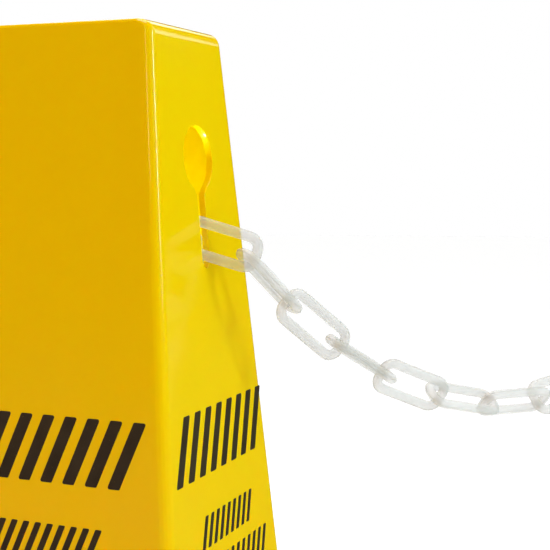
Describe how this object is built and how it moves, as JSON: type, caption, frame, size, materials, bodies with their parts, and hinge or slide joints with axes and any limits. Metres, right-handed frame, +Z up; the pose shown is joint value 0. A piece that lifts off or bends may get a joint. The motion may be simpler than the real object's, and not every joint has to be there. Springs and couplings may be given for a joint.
{
  "type": "wet floor sign",
  "caption": "Tall yellow four-sided floor safety cone, hollow and open underneath, with keyhole slots for a barrier chain; a slack plastic chain hangs from one.",
  "frame": {"origin": "centre of the footprint, on the floor", "axes": "+Z up; the two keyhole walls face +X and -X, and the chain hangs from the +X one; the front faces -Y"},
  "size_m": [0.4715, 0.3944, 0.914],
  "materials": {
    "cone_plastic": "smooth moulded polyolefin, slightly glossy, a little light passes through the wall",
    "chain_plastic": "milky white moulded plastic, satin"
  },
  "bodies": {
    "cone": {"cone_body": "cone_plastic"},
    "anchor": {"anchor_link": "chain_plastic"},
    "link_01": {"chain_link_01": "chain_plastic"},
    "link_02": {"chain_link_02": "chain_plastic"},
    "link_03": {"chain_link_03": "chain_plastic"},
    "link_04": {"chain_link_04": "chain_plastic"},
    "link_05": {"chain_link_05": "chain_plastic"},
    "link_06": {"chain_link_06": "chain_plastic"},
    "link_07": {"chain_link_07": "chain_plastic"},
    "link_08": {"chain_link_08": "chain_plastic"},
    "link_09": {"chain_link_09": "chain_plastic"}
  },
  "joints": [
    {"name": "slot_slide", "type": "slide", "parent": "cone", "child": "anchor", "axis": [-0.0807, 0, 0.9967], "range_m": [0, 0.05]},
    {"name": "link_01_hinge", "type": "hinge", "parent": "anchor", "child": "link_01", "pos_m": [0.06496, -0.00254, 0.78632], "axis": [0, 1, 0], "range_deg": [-8, 0]},
    {"name": "link_02_hinge", "type": "hinge", "parent": "link_01", "child": "link_02", "pos_m": [0.09494, 0.00958, 0.77476], "axis": [-0.7193, 0.6947, 0], "range_deg": [-12, 28]},
    {"name": "link_03_hinge", "type": "hinge", "parent": "link_02", "child": "link_03", "pos_m": [0.11888, 0.03436, 0.73923], "axis": [-0.7193, 0.6947, 0], "range_deg": [-12, 6]},
    {"name": "link_04_hinge", "type": "hinge", "parent": "link_03", "child": "link_04", "pos_m": [0.13788, 0.05404, 0.7166], "axis": [-0.7193, 0.6947, 0], "range_deg": [-12, 7]},
    {"name": "link_05_hinge", "type": "hinge", "parent": "link_04", "child": "link_05", "pos_m": [0.16707, 0.08427, 0.69044], "axis": [-0.7193, 0.6947, 0], "range_deg": [-12, 9]},
    {"name": "link_06_hinge", "type": "hinge", "parent": "link_05", "child": "link_06", "pos_m": [0.18982, 0.10783, 0.67674], "axis": [-0.7193, 0.6947, 0], "range_deg": [-12, 10]},
    {"name": "link_07_hinge", "type": "hinge", "parent": "link_06", "child": "link_07", "pos_m": [0.22345, 0.14265, 0.66639], "axis": [-0.7193, 0.6947, 0], "range_deg": [-11, 11]},
    {"name": "link_08_hinge", "type": "hinge", "parent": "link_07", "child": "link_08", "pos_m": [0.24811, 0.16819, 0.66604], "axis": [-0.7193, 0.6947, 0], "range_deg": [-6, 11]},
    {"name": "link_09_hinge", "type": "hinge", "parent": "link_08", "child": "link_09", "pos_m": [0.28186, 0.20314, 0.67551], "axis": [-0.7193, 0.6947, 0], "range_deg": [-5, 10]}
  ]
}
